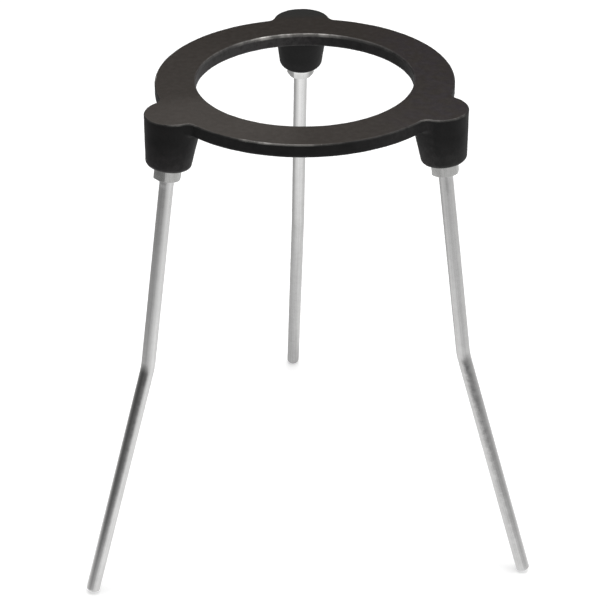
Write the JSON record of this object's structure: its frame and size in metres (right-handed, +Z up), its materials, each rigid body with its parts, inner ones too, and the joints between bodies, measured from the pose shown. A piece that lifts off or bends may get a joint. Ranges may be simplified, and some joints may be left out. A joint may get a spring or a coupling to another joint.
{
  "type": "laboratory tripod stand",
  "caption": "Round cast-iron tripod stand: a flat ring with leaning bosses on bent steel rod legs, each screwed in and locked by a hexagon nut. Holds a vessel over a burner.",
  "frame": {"origin": "on the bench, straight below the centre of the ring", "axes": "+Z up along the ring's axis, +Y towards the back leg, +X to the right when the back leg is furthest away"},
  "size_m": [0.1965, 0.1901, 0.2168],
  "materials": {
    "black_iron": "black-finished sand casting, rims rubbed bright",
    "zinc_rod": "satin zinc plating",
    "zinc_nut": "satin zinc plating"
  },
  "bodies": {
    "root": {"ring_head": "black_iron", "back_leg": "zinc_rod", "left_leg": "zinc_rod", "right_leg": "zinc_rod", "back_nut": "zinc_nut", "left_nut": "zinc_nut", "right_nut": "zinc_nut"}
  },
  "joints": []
}
